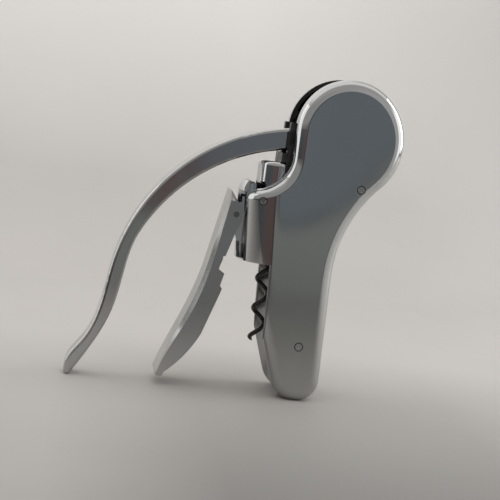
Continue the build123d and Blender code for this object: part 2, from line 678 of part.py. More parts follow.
def lever_arm():
    """Arched lever: round root on the axle, tapered bow and a swelling finger end that touches the table."""
    centre = (PIVOT_X - ARM_BOW_X, PIVOT_Z - ARM_OUTER_R + ARM_BOW_RISE)
    nose = (PIVOT_X - ARM_REACH, ARM_NOSE_R - HANDLE_LENGTH)
    root_out = polar(centre, ARM_OUTER_R, ROOT_ANGLE)
    root_in = polar(centre, ARM_OUTER_R - ARM_ROOT_T, ROOT_ANGLE)
    waist_out = polar(centre, ARM_OUTER_R, WAIST_ANGLE_OUT)
    waist_in = polar(centre, ARM_OUTER_R - ARM_WAIST_T, WAIST_ANGLE_IN)
    nose_out = polar(nose, ARM_NOSE_R, NOSE_ANGLE_OUT)
    nose_in = polar(nose, ARM_NOSE_R, NOSE_ANGLE_IN)
    outer_bow = ThreePointArc(root_out, polar(centre, ARM_OUTER_R, MIDDLE_ANGLE), waist_out)
    inner_bow = ThreePointArc(waist_in, polar(centre, ARM_OUTER_R - ARM_MIDDLE_T, MIDDLE_ANGLE), root_in)
    back = Spline(
        waist_out, *bowed_line(nose_out, waist_out, FINGER_BACK), nose_out,
        tangents=(outer_bow % 1, polar((0, 0), 1, NOSE_ANGLE_OUT + 90.0)),
    )
    front = Spline(
        nose_in, *bowed_line(nose_in, waist_in, FINGER_FRONT), waist_in,
        tangents=(polar((0, 0), 1, NOSE_ANGLE_IN + 90.0), inner_bow % 0),
    )
    tip = ThreePointArc(nose_out, polar(nose, ARM_NOSE_R, 270.0), nose_in)
    profile = side_face(outer_bow, back, tip, front, inner_bow, Line(root_in, root_out))
    arm = slab(profile, -ARM_HALF, ARM_HALF)
    long_edges = [e for e in arm.edges() if abs(abs(e.center().Y) - ARM_HALF) < FIT_GAP and e.center().X < 0]
    arm = fillet(long_edges, ARM_EDGE)
    hub = slab(Plane.XZ * Pos(PIVOT_X, PIVOT_Z) * Circle(HUB_R), -ARM_HALF, ARM_HALF)
    root = Polyline(root_out, (PIVOT_X, PIVOT_Z + HUB_R / 2), (PIVOT_X, PIVOT_Z - HUB_R), root_in, close=True)
    arm += hub + slab(side_face(*root.edges()), -ARM_HALF, ARM_HALF)
    arm -= tube_y(PIVOT_X, PIVOT_Z, AXLE_R + RUN_GAP, -FAR, FAR)
    for x, z in gear_pin_places():
        arm -= tube_y(x, z, GEAR_PIN_R, -FAR, FAR)
    return arm


def pivot_axle():
    return tube_y(PIVOT_X, PIVOT_Z, AXLE_R, -AXLE_HALF, AXLE_HALF)


def pivot_washers():
    washers = []
    for side in (-1, 1):
        low, high = sorted((side * (BOSS_Y - PIVOT_WASHER_T), side * BOSS_Y))
        disc_y = tube_y(PIVOT_X, PIVOT_Z, WASHER_R, low, high)
        washers.append(disc_y - tube_y(PIVOT_X, PIVOT_Z, AXLE_R, low, high))
    return washers


def hinge_pin():
    return tube_y(HINGE_X, HINGE_Z, HINGE_PIN_R, -GRIP_HALF, GRIP_HALF)


def from_hinge(place, step=0.0):
    """Point of the XZ plane measured from the grip's hinge, moved by a step to +X."""
    return (HINGE_X + place[0] + step, HINGE_Z + place[1])


def grip_profile(bevel):
    """Side shape of the clamp grip: 0 gives the full shape, 1 the smaller one of its bevelled flanks."""
    step = GRIP_CHAMFER_IN * bevel
    crown = from_hinge((GRIP_CROWN[0], GRIP_CROWN[1] - GRIP_CROWN_DROP * bevel))
    bend = from_hinge(GRIP_BEND, step)
    low = (HINGE_X + GRIP_TIP_X + 0.3 * step, GRIP_CLEAR - HANDLE_LENGTH + 0.3 * step)
    tip_out = (low[0] - GRIP_WALL / 2, low[1] + GRIP_WALL)
    tip_in = (low[0] + 1.3 * GRIP_WALL, low[1] + GRIP_WALL)
    teeth = [from_hinge(place) for place in GRIP_TEETH]
    heel = from_hinge(GRIP_HEEL)
    heel_low = from_hinge(GRIP_HEEL_LOW)
    return side_face(
        Line(crown, bend),
        Spline(bend, from_hinge(GRIP_BELLY, step), tip_out, tangents=((-0.19, -1.0), (-0.3, -1.0))),
        ThreePointArc(tip_out, low, tip_in),
        Spline(tip_in, from_hinge(GRIP_PALM), teeth[0], tangents=((0.75, 0.62), (0.2, 1.0))),
        *Polyline(*teeth, heel_low).edges(),
        ThreePointArc(heel_low, from_hinge(GRIP_HEEL_OUT), heel),
        *Polyline(heel, from_hinge(GRIP_SHOULDER), crown).edges(),
    )


def clamp_grip():
    """Hinged grip: forked top on the hinge pin, notched cheeks and a long finger end."""
    flat_half = GRIP_HALF - GRIP_CHAMFER_SIDE
    full = grip_profile(0)
    small = grip_profile(1)
    grip = slab(full, -flat_half, flat_half)
    for side in (-1, 1):
        sections = [Pos(0, side * flat_half, 0) * full, Pos(0, side * GRIP_HALF, 0) * small]
        grip += loft(sections, ruled=True)

    # Room for the lug and the barrel between the cheeks
    fork_half = LUG_HALF + GRIP_CHEEK_GAP
    crown = from_hinge(GRIP_CROWN, GRIP_WALL)
    bend = from_hinge(GRIP_BEND, GRIP_WALL)
    above = crown[1] + LUG_R
    inner_line = Polyline(crown, bend, (0, bend[1]), (0, above), (crown[0], above), close=True)
    grip -= slab(side_face(*inner_line.edges()), -fork_half, fork_half)
    neck = Pos(0, 0, -FAR) * Cylinder(MOUTH_R, FAR, align=(Align.CENTER, Align.CENTER, Align.MIN))
    grip -= neck.rotate(Axis((HINGE_X, 0, HINGE_Z), (0, 1, 0)), GRIP_CLOSE)
    return grip - tube_y(HINGE_X, HINGE_Z, HINGE_PIN_R + RUN_GAP, -FAR, FAR)


def save(name, shape):
    """Write one piece, or a group of like pieces, under its name."""
    solids = shape if isinstance(shape, list) else [shape]
    solids = [solid for piece in solids for solid in piece.solids()]
    export_step(solids[0] if len(solids) == 1 else Compound(children=solids), f"parts/{name}.step")
    print(name, len(solids), round(sum(s.volume for s in solids), 1), all(s.is_valid for s in solids))


os.makedirs("parts", exist_ok=True)
housing = housing_body()
near_shell, far_shell = housing_shells(housing)
save("near_housing_shell", near_shell)
save("far_housing_shell", far_shell)
save("housing_screws", housing_screws(housing))
save("barrel", barrel())
save("barrel_pins", barrel_pins(housing))
save("worm_nut", worm_nut())
save("nut_retaining_ring", nut_ring())
save("pivot_axle", pivot_axle())
save("pivot_washers", pivot_washers())
save("hinge_pin", hinge_pin())
save("lever_arm", lever_arm())
save("near_sector_gear", sector_gear(-1))
save("far_sector_gear", sector_gear(1))
save("gear_pins", gear_pins())
save("carriage_plunger", carriage_plunger())
save("rack", rack())
save("rack_screws", rack_screws())
save("worm_bush", worm_bush())
save("thrust_washers", thrust_washers())
save("worm_spindle", worm_spindle())
save("worm", worm())
save("clamp_grip", clamp_grip())
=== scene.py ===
import math
import bmesh
import bpy
from mathutils import Matrix, Vector


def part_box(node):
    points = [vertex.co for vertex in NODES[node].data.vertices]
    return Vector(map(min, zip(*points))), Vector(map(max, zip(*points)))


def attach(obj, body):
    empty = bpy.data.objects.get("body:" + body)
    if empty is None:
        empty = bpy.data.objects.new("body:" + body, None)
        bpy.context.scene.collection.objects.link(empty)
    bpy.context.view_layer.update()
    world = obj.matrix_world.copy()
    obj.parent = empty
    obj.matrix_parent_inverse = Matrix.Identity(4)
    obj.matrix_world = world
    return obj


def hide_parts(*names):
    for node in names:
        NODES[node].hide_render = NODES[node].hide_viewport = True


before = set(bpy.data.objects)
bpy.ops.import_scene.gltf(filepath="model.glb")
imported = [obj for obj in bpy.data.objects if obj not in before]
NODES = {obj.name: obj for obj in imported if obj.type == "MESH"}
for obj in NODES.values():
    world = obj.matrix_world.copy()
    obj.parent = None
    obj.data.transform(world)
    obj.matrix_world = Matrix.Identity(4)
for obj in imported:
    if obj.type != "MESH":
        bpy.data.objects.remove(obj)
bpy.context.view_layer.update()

MM = 0.001
GROUND_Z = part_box("near_housing_shell")[0].z

# Camera of the photograph: target on the object, stand-off, turn to the lever's side, height, roll and lens
TARGET = Vector((-8.5, 0.0, 4.2)) * MM
DISTANCE = 0.600
TURN = math.radians(9.0)
HEIGHT = math.radians(7.0)
ROLL = math.radians(7.5)
LENS = 86.4
SENSOR = 36.0
CLIP_NEAR = 0.01
CLIP_FAR = 50.0


def add_camera():
    level = Vector((-math.sin(TURN), -math.cos(TURN), 0.0))
    back = level * math.cos(HEIGHT) + Vector((0.0, 0.0, math.sin(HEIGHT)))
    right = (-back).cross(Vector((0, 0, 1))).normalized()
    up = right.cross(-back)
    turned_right = right * math.cos(ROLL) + up * math.sin(ROLL)
    turned_up = up * math.cos(ROLL) - right * math.sin(ROLL)
    data = bpy.data.cameras.new("camera")
    data.lens = LENS
    data.sensor_width = SENSOR
    data.sensor_fit = "HORIZONTAL"
    data.clip_start = CLIP_NEAR
    data.clip_end = CLIP_FAR
    camera = bpy.data.objects.new("camera", data)
    bpy.context.scene.collection.objects.link(camera)
    axes = Matrix((turned_right, turned_up, back)).transposed()
    camera.matrix_world = Matrix.Translation(TARGET + back * DISTANCE) @ axes.to_4x4()
    bpy.context.scene.camera = camera


class Nodes:
    """Short way to build a node tree."""

    def __init__(self, tree):
        self.tree = tree
        tree.nodes.clear()

    def add(self, kind, **settings):
        node = self.tree.nodes.new(kind)
        for name, value in settings.items():
            setattr(node, name, value)
        return node

    def feed(self, socket, value):
        """Link an output to the socket, or set the socket to a plain value."""
        if hasattr(value, "is_output"):
            self.tree.links.new(value, socket)
        else:
            socket.default_value = value

    def set(self, node, **values):
        for name, value in values.items():
            self.feed(node.inputs[name.replace("_", " ")], value)

    def math(self, operation, *values):
        node = self.add("ShaderNodeMath", operation=operation)
        for socket, value in zip(node.inputs, values):
            self.feed(socket, value)
        return node.outputs[0]

    def product(self, first, *others):
        for other in others:
            first = self.math("MULTIPLY", first, other)
        return first

    def ramp(self, factor, low, high, start, end):
        """Value that runs from low to high as the factor goes from start to end."""
        node = self.add("ShaderNodeMapRange", clamp=True)
        self.set(node, Value=factor, From_Min=start, From_Max=end, To_Min=low, To_Max=high)
        return node.outputs["Result"]

    def rise(self, factor, start, end):
        return self.ramp(factor, 0.0, 1.0, start, end)

    def fall(self, factor, start, end):
        return self.ramp(factor, 1.0, 0.0, start, end)

    def mix(self, factor, first, second):
        """Colour that goes from the first to the second as the factor goes from 0 to 1."""
        node = self.add("ShaderNodeMix", data_type="RGBA")
        self.feed(node.inputs["Factor"], factor)
        for name, value in (("A", first), ("B", second)):
            socket = [s for s in node.inputs if s.name == name and s.type == "RGBA"][0]
            self.feed(socket, value if hasattr(value, "is_output") else (*value, 1.0))
        return [s for s in node.outputs if s.type == "RGBA"][0]

    def split(self, vector):
        axes = self.add("ShaderNodeSeparateXYZ")
        self.feed(axes.inputs["Vector"], vector)
        return axes.outputs["X"], axes.outputs["Y"], axes.outputs["Z"]

    def length(self, first, second):
        """Length of the vector with these two parts."""
        squares = [self.math("POWER", part, 2.0) for part in (first, second)]
        return self.math("SQRT", self.math("ADD", *squares))

    def noise(self, vector, scale, detail, stretch=None):
        if stretch:
            mapping = self.add("ShaderNodeMapping")
            self.set(mapping, Vector=vector, Scale=stretch)
            vector = mapping.outputs["Vector"]
        node = self.add("ShaderNodeTexNoise")
        self.set(node, Vector=vector, Scale=scale, Detail=detail)
        return node.outputs["Fac"]

    def bump(self, height, strength, depth, **below):
        """Normal of a relief, over the normal below it where one is given."""
        node = self.add("ShaderNodeBump")
        self.set(node, Strength=strength, Distance=depth, Height=height, **below)
        return node.outputs["Normal"]


# Noises of the finishes: scale, detail, and the values between which one tone or gloss turns into the other
CLOUD_DETAIL = 4.0
CLOUD_TURN = (0.35, 0.65)
SMEAR_DETAIL = 5.0
SMEAR_TURN = (0.35, 0.7)
SMEARS_PER_CLOUD = 3.1
GRAIN_TURN = (0.3, 0.7)
SCRATCH_SCALE = 900.0
SCRATCH_DETAIL = 2.0
SCRATCH_STRETCH = (1, 1, 14)
SCRATCH_DEPTH = 0.0002


def new_material(name):
    material = bpy.data.materials.new(name)
    material.use_nodes = True
    nodes = Nodes(material.node_tree)
    output = nodes.add("ShaderNodeOutputMaterial")
    shader = nodes.add("ShaderNodeBsdfPrincipled")
    nodes.set(output, Surface=shader.outputs["BSDF"])
    place = nodes.add("ShaderNodeTexCoord").outputs["Object"]
    return material, nodes, shader, place


def metal(name, light, dark, smooth, rough, cloud=22.0, bump=0.02):
    """Plated metal: clouds of tarnish in the colour, smears in the gloss and hair scratches in the bump."""
    material, nodes, shader, place = new_material(name)
    clouds = nodes.noise(place, cloud, CLOUD_DETAIL)
    smears = nodes.noise(place, cloud * SMEARS_PER_CLOUD, SMEAR_DETAIL)
    scratches = nodes.noise(place, SCRATCH_SCALE, SCRATCH_DETAIL, SCRATCH_STRETCH)
    colour = nodes.mix(nodes.rise(clouds, *CLOUD_TURN), light, dark)
    gloss = nodes.ramp(smears, smooth, rough, *SMEAR_TURN)
    relief = nodes.bump(scratches, bump, SCRATCH_DEPTH)
    nodes.set(shader, Base_Color=colour, Metallic=1.0, Roughness=gloss, Normal=relief)
    return material


# Recesses of the two screws in the near shell and of the pins in both, painted dark as shade, in mm: X, Z
# and radius
SCREW_RECESSES = ((39.2, 41.7, 2.1), (18.9, -38.7, 2.1))
PIN_RECESS = (-7.8, 30.6, 1.95)
RECESS_FADE = 0.2

# Slot between the shells and channel in the handle's front, in mm, where shade is painted, and the heights
# where the plate is satin and where it is mirror bright
SLOT_HALF = 10.35
SLOT_END_X = 42.0
SLOT_FOOT_Z = 34.0
SLOT_FADE = 0.1
SLOT_END_FADE = 1.0
CHANNEL_LEAN = math.tan(math.radians(2.1))
CHANNEL_FADE = 0.3
CHANNEL_TOP_FADE = 0.5
SATIN_Z = -32.0
MIRROR_Z = 12.0

# Finish of the shells, with the painted shade of their channel, slot and recesses
SHELL_TONES = ((0.57, 0.58, 0.585), (0.53, 0.54, 0.54))
HANDLE_TONE = (0.45, 0.46, 0.45)
CHANNEL_SHADE_TONE = (0.17, 0.172, 0.17)
RECESS_SHADE_TONE = (0.07, 0.07, 0.07)
MIRROR_ROUGH = 0.04
SATIN_ROUGH = 0.22
SMEAR_ROUGH = 0.015
RECESS_ROUGH = 0.5
SHELL_CLOUD_SCALE = 18.0
SHELL_SMEAR_SCALE = 60.0
SHELL_SCRATCH_SCALE = 700.0
SHELL_SCRATCH_STRETCH = (1, 1, 9)
SHELL_SCRATCH_BUMP = 0.008
RIPPLE_SCALE = 22.0
RIPPLE_DETAIL = 1.0
RIPPLE_BUMP = 0.03
RIPPLE_DEPTH = 0.001


def recess_mask(nodes, x, z, recess):
    """1 in a round recess that runs along Y."""
    centre_x, centre_z, radius = recess
    off_x = nodes.math("SUBTRACT", x, centre_x * MM)
    off_z = nodes.math("SUBTRACT", z, centre_z * MM)
    return nodes.fall(nodes.length(off_x, off_z), radius * MM, (radius + RECESS_FADE) * MM)


def painted_shade_mask(nodes, x, y, z):
    """1 where shade is painted: in the slot between the shells and in their recesses."""
    painted_shade = nodes.product(
        nodes.fall(nodes.math("ABSOLUTE", y), SLOT_HALF * MM, (SLOT_HALF + SLOT_FADE) * MM),
        nodes.fall(x, SLOT_END_X * MM, (SLOT_END_X + SLOT_END_FADE) * MM),
        nodes.rise(z, (SLOT_FOOT_Z - SLOT_END_FADE) * MM, SLOT_FOOT_Z * MM),
    )
    near_side = nodes.fall(y, -SLOT_FADE * MM, SLOT_FADE * MM)
    for recess in SCREW_RECESSES:
        painted_shade = nodes.math("MAXIMUM", painted_shade, nodes.product(recess_mask(nodes, x, z, recess), near_side))
    return nodes.math("MAXIMUM", painted_shade, recess_mask(nodes, x, z, PIN_RECESS))


def shell_metal(name):
    """Plated casting: bright on the head, softer on the handle, dull with painted shade in recesses, slot
    and channel.
    """
    material, nodes, shader, place = new_material(name)
    x, y, z = nodes.split(place)
    clouds = nodes.noise(place, SHELL_CLOUD_SCALE, CLOUD_DETAIL)
    smears = nodes.noise(place, SHELL_SMEAR_SCALE, SMEAR_DETAIL)
    scratches = nodes.noise(place, SHELL_SCRATCH_SCALE, SCRATCH_DETAIL, SHELL_SCRATCH_STRETCH)
    ripple = nodes.noise(place, RIPPLE_SCALE, RIPPLE_DETAIL)
    handle = nodes.fall(z, SATIN_Z * MM, MIRROR_Z * MM)
    painted_shade = painted_shade_mask(nodes, x, y, z)
    # Painted shade in the channel in the handle's front
    ahead = nodes.math("ADD", x, nodes.product(z, CHANNEL_LEAN))
    channel = nodes.fall(ahead, 0.0, CHANNEL_FADE * MM)
    channel = nodes.product(channel, nodes.fall(z, -CHANNEL_TOP_FADE * MM, 0.0))
    colour = nodes.mix(nodes.rise(clouds, *CLOUD_TURN), *SHELL_TONES)
    colour = nodes.mix(handle, colour, HANDLE_TONE)
    colour = nodes.mix(channel, colour, CHANNEL_SHADE_TONE)
    # Painted shade in the slot between the shells and in the recesses round the screws and pins
    colour = nodes.mix(painted_shade, colour, RECESS_SHADE_TONE)
    plate_gloss = nodes.ramp(handle, MIRROR_ROUGH, SATIN_ROUGH, 0.0, 1.0)
    plate_gloss = nodes.math("ADD", plate_gloss, nodes.ramp(smears, 0.0, SMEAR_ROUGH, *SMEAR_TURN))
    dull_gloss = nodes.product(nodes.math("MAXIMUM", painted_shade, channel), RECESS_ROUGH)
    gloss = nodes.math("MAXIMUM", plate_gloss, dull_gloss)
    fine = nodes.bump(scratches, SHELL_SCRATCH_BUMP, SCRATCH_DEPTH)
    relief = nodes.bump(ripple, RIPPLE_BUMP, RIPPLE_DEPTH, Normal=fine)
    nodes.set(shader, Base_Color=colour, Metallic=1.0, Roughness=gloss, Normal=relief)
    return material


# Barrel's bore, in mm, which is left dull and painted dark as shade, and its plate
BORE_R = 15.1
BORE_FLOOR = 4.5
BORE_FADE = 0.15
BORE_FLOOR_FADE = 1.0
BARREL_TONES = ((0.64, 0.65, 0.66), (0.58, 0.59, 0.60))
BORE_SHADE_TONE = (0.035, 0.035, 0.036)
BORE_ROUGH = 0.55
BARREL_ROUGH = (0.03, 0.08)
BARREL_CLOUD_SCALE = 22.0
BARREL_SMEAR_SCALE = 70.0
BARREL_SCRATCH_BUMP = 0.015


def barrel_metal(name):
    """Mirror plate outside, dull with painted shade in the bore."""
    material, nodes, shader, place = new_material(name)
    x, y, z = nodes.split(place)
    clouds = nodes.noise(place, BARREL_CLOUD_SCALE, CLOUD_DETAIL)
    smears = nodes.noise(place, BARREL_SMEAR_SCALE, SMEAR_DETAIL)
    scratches = nodes.noise(place, SCRATCH_SCALE, SCRATCH_DETAIL, SCRATCH_STRETCH)
    # Painted shade inside the bore, above its floor
    inside = nodes.product(
        nodes.fall(nodes.length(x, y), BORE_R * MM, (BORE_R + BORE_FADE) * MM),
        nodes.rise(z, (BORE_FLOOR - BORE_FLOOR_FADE) * MM, BORE_FLOOR * MM),
    )
    plate = nodes.mix(nodes.rise(clouds, *CLOUD_TURN), *BARREL_TONES)
    colour = nodes.mix(inside, plate, BORE_SHADE_TONE)
    gloss = nodes.ramp(smears, *BARREL_ROUGH, *SMEAR_TURN)
    gloss = nodes.math("MAXIMUM", gloss, nodes.product(inside, BORE_ROUGH))
    relief = nodes.bump(scratches, BARREL_SCRATCH_BUMP, SCRATCH_DEPTH)
    nodes.set(shader, Base_Color=colour, Metallic=1.0, Roughness=gloss, Normal=relief)
    return material


# Coating and plastic
GRAIN_SCALE = 300.0
GRAIN_DETAIL = 4.0
PATCH_SCALE = 37.5
PATCH_DETAIL = 3.0
GRAIN_BUMP = 0.15
GRAIN_DEPTH = 0.0002


def coated(name, light, dark, smooth, rough):
    """Coating or moulded plastic: broad patches in the colour and fine grain in the gloss and bump."""
    material, nodes, shader, place = new_material(name)
    grain = nodes.noise(place, GRAIN_SCALE, GRAIN_DETAIL)
    patches = nodes.noise(place, PATCH_SCALE, PATCH_DETAIL)
    colour = nodes.mix(nodes.rise(patches, *CLOUD_TURN), light, dark)
    gloss = nodes.ramp(grain, smooth, rough, *GRAIN_TURN)
    relief = nodes.bump(grain, GRAIN_BUMP, GRAIN_DEPTH)
    nodes.set(shader, Base_Color=colour, Metallic=0.0, Roughness=gloss, Normal=relief)
    return material


# Front of the housing, in mm: the shells' skin over the barrel, their lips by the slot and the barrel's rim
BODY_HALF = -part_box("near_housing_shell")[0].y / MM
BARREL_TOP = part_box("barrel")[1].z / MM
FOOT_FRONT_X = -16.0
FRONT_LEAN = (BODY_HALF + FOOT_FRONT_X) / BARREL_TOP
LIP_TOP = 36.1
LIP_CURVE_X = -12.7
LIP_CURVE_R = 17.0
LIP_EDGE_R = 5.5
LIP_SLOT_HALF = 10.3
SKIN_T = 1.8
SKIN_PROUD = 0.03
SKIN_FRONT_TURN = math.radians(24.0)
SKIN_SIDE = 3.0
BARREL_SHOULDER = 32.6
RIM_R = 15.9
RIM_LOW = 31.0
RIM_BULGE = 0.7

# Fineness of these meshes. An extra row beside each tangent line keeps the reflections even, and the last
# row of the skin runs past the slot's wall, where it is cut off
WALL_ROWS = 12
EDGE_ROWS = 20
FRONT_COLUMNS = 30
SIDE_COLUMNS = 4
EXTRA_ROW = 0.1
LEDGE_LEAST = 0.5
SLOT_OVERLAP = 1.0
EDGE_ROUNDS = 5
RIM_STEPS = 144
RIM_ROWS = 16
CUTTER_OVER = 2.0
BAR_SIDES = 64
SHARP_ANGLE = math.radians(35.0)
WELD = 0.000001


def front_centre(z):
    """X of the middle of the round front at a height."""
    return FOOT_FRONT_X + BODY_HALF - FRONT_LEAN * z


def skin_column(turn, along, inset):
    """Points of the skin from its foot over the rounded edge to the slot.

    The column stands at a turn about the middle of the round front, or farther along the flat side.
    """
    wide = BODY_HALF - inset

    # Where the wall would meet the curved top of the lip with no rounding
    edge = Vector((0.0, -wide * math.sin(turn), LIP_TOP))
    for _ in range(EDGE_ROUNDS):
        edge.x = front_centre(edge.z) + along - wide * math.cos(turn)
        run = max(0.0, edge.x - LIP_CURVE_X)
        drop = math.sqrt((LIP_CURVE_R + inset) ** 2 - run ** 2)
        edge.z = LIP_TOP + LIP_CURVE_R - drop

    # Ball in that corner, and the point of the wall that it touches
    up = Vector((-run, 0.0, drop)).normalized()
    out = Vector((-math.cos(turn), -math.sin(turn), -FRONT_LEAN * math.cos(turn))).normalized()
    ball_r = LIP_EDGE_R - inset
    ball = edge - (up + out) * (ball_r / (1 + up.dot(out)))
    touch = ball + out * ball_r
    middle = front_centre(touch.z)
    sweep = math.atan2(-touch.y, middle - touch.x)
    wall = Vector((middle - wide * math.cos(sweep), -wide * math.sin(sweep), touch.z))
    if touch.x > middle:
        wall = Vector((touch.x, -wide, touch.z))

    # Up the wall, over the ball to the lip's top and along it into the slot
    points = []
    for z in [wall.z * row / WALL_ROWS for row in range(WALL_ROWS)] + [wall.z - EXTRA_ROW]:
        points.append(Vector((wall.x + front_centre(z) - middle, wall.y, z)))
    arc = up.angle(out)
    for row in range(EDGE_ROWS + 1):
        part = row / EDGE_ROWS
        spoke = (out * math.sin((1 - part) * arc) + up * math.sin(part * arc)) / math.sin(arc)
        points.append(ball + spoke * ball_r + (wall - touch) * (1 - part))
    last = points[-1]
    inner_y = max(last.y + LEDGE_LEAST, SLOT_OVERLAP - LIP_SLOT_HALF)
    return points + [Vector((last.x, y, last.z)) for y in (last.y + EXTRA_ROW, inner_y)]


def skin_columns(inset):
    sweep = math.pi / 2 - SKIN_FRONT_TURN
    columns = []
    for step in range(FRONT_COLUMNS + 1):
        columns.append(skin_column(SKIN_FRONT_TURN + sweep * step / FRONT_COLUMNS, 0.0, inset))
    for step in range(1, SIDE_COLUMNS + 1):
        columns.append(skin_column(math.pi / 2, SKIN_SIDE * step / SIDE_COLUMNS, inset))
    return columns


def mesh_from(form, name):
    """Mesh in metres from a form drawn in mm."""
    bmesh.ops.recalc_face_normals(form, faces=form.faces)
    bmesh.ops.scale(form, vec=(MM, MM, MM), verts=form.verts)
    mesh = bpy.data.meshes.new(name)
    form.to_mesh(mesh)
    form.free()
    return mesh


def cut(mesh, cutters, name):
    """Mesh with the cutters' room taken out of it, smooth apart from its sharp edges."""
    scene = bpy.context.scene.collection
    blank = bpy.data.objects.new(name, mesh)
    scene.objects.link(blank)
    tools = [bpy.data.objects.new("cutter", cutter) for cutter in cutters]
    for tool in tools:
        scene.objects.link(tool)
        step = blank.modifiers.new("cut", "BOOLEAN")
        step.operation = "DIFFERENCE"
        step.solver = "EXACT"
        step.object = tool
    graph = bpy.context.evaluated_depsgraph_get()
    result = bpy.data.meshes.new_from_object(blank.evaluated_get(graph), depsgraph=graph)
    for spare in [blank, *tools]:
        bpy.data.objects.remove(spare)
    result.name = name
    result.shade_smooth()
    result.set_sharp_from_angle(angle=SHARP_ANGLE)
    return result


def bar_cutter(x, z, radius, y_low, y_high):
    """Round bar along Y."""
    form = bmesh.new()
    place = Matrix.Translation((x, (y_low + y_high) / 2, z)) @ Matrix.Rotation(math.pi / 2, 4, "X")
    bmesh.ops.create_cone(
        form, cap_ends=True, segments=BAR_SIDES, radius1=radius, radius2=radius, depth=y_high - y_low,
        matrix=place,
    )
    return mesh_from(form, "bar")


def block_cutter(low, high):
    """Block between two corners."""
    form = bmesh.new()
    size = Vector(high) - Vector(low)
    place = Matrix.Translation((Vector(high) + Vector(low)) / 2) @ Matrix.Diagonal((*size, 1.0))
    bmesh.ops.create_cube(form, size=1.0, matrix=place)
    return mesh_from(form, "block")


def rim_cutter():
    """Room outside the barrel's sloped rim, turned about its axis."""
    low = Vector((BODY_HALF, RIM_LOW))
    high = Vector((RIM_R, BARREL_TOP))
    middle = Vector(((BODY_HALF + RIM_R) / 2 + RIM_BULGE, (RIM_LOW + BARREL_TOP + RIM_BULGE) / 2))
    handle = middle * 2 - (low + high) / 2
    outline = []
    for row in range(RIM_ROWS + 1):
        part = row / RIM_ROWS
        outline.append(low * (1 - part) ** 2 + handle * (2 * part * (1 - part)) + high * part ** 2)
    over = BARREL_TOP + CUTTER_OVER
    outline += [Vector((RIM_R, over)), Vector((2 * BODY_HALF, over)), Vector((2 * BODY_HALF, RIM_LOW))]
    form = bmesh.new()
    spokes = []
    for step in range(RIM_STEPS):
        turn = 2 * math.pi * step / RIM_STEPS
        spokes.append([form.verts.new((p.x * math.cos(turn), p.x * math.sin(turn), p.y)) for p in outline])
    for i, spoke in enumerate(spokes):
        after = spokes[(i + 1) % RIM_STEPS]
        for j in range(len(outline)):
            k = (j + 1) % len(outline)
            form.faces.new((spoke[j], after[j], after[k], spoke[k]))
    return mesh_from(form, "rim")


def add_object(name, mesh, material):
    piece = bpy.data.objects.new(name, mesh)
    bpy.context.scene.collection.objects.link(piece)
    mesh.materials.clear()
    mesh.materials.append(material)
    return piece


def add_skin(name, side, material):
    """Front of one shell: skin over the barrel that ends above in a rounded lip beside the slot."""
    form = bmesh.new()
    layers = []
    for inset in (-SKIN_PROUD, SKIN_T):
        columns = skin_columns(inset)
        layers.append([[form.verts.new((p.x, -side * p.y, p.z)) for p in column] for column in columns])
    outer, inner = layers

    # Faces of both layers, then of the strips that close them
    last_column = len(outer) - 1
    last_row = len(outer[0]) - 1
    for grid in layers:
        for i in range(last_column):
            for j in range(last_row):
                form.faces.new((grid[i][j], grid[i + 1][j], grid[i + 1][j + 1], grid[i][j + 1]))
    for i in range(last_column):
        for j in (0, last_row):
            form.faces.new((outer[i][j], outer[i + 1][j], inner[i + 1][j], inner[i][j]))
    for j in range(last_row):
        for i in (0, last_column):
            form.faces.new((outer[i][j], outer[i][j + 1], inner[i][j + 1], inner[i][j]))
    bmesh.ops.recalc_face_normals(form, faces=form.faces)

    # Wall beside the slot, and the hole round the pin
    bmesh.ops.bisect_plane(
        form, geom=[*form.verts, *form.edges, *form.faces], plane_co=(0, side * LIP_SLOT_HALF, 0),
        plane_no=(0, -side, 0), clear_outer=True,
    )
    bmesh.ops.holes_fill(form, edges=[edge for edge in form.edges if edge.is_boundary], sides=0)
    x, z, radius = PIN_RECESS
    hole = bar_cutter(x, z, radius, *sorted((side * LIP_SLOT_HALF, side * 2 * BODY_HALF)))
    piece = add_object(name, cut(mesh_from(form, name), [hole], name), material)
    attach(piece, "housing")


def add_barrel(material):
    """Barrel that ends under the shells' lips, with only its front land standing up to a sloped rim."""
    form = bmesh.new()
    form.from_mesh(NODES["barrel"].data)
    bmesh.ops.remove_doubles(form, verts=form.verts, dist=WELD)
    whole = bpy.data.meshes.new("barrel_blank")
    form.to_mesh(whole)
    form.free()

    # The normals that came with the solid do not fit the cut faces
    whole.attributes.remove(whole.attributes["custom_normal"])
    wide = 2 * BODY_HALF
    cutters = [rim_cutter()]
    for side in (-1, 1):
        low, high = sorted((side * LIP_SLOT_HALF, side * wide))
        cutters.append(block_cutter((-wide, low, BARREL_SHOULDER), (wide, high, 2 * BARREL_TOP)))
    piece = add_object("barrel_tube", cut(whole, cutters, "barrel_tube"), material)
    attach(piece, "housing")
    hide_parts("barrel")


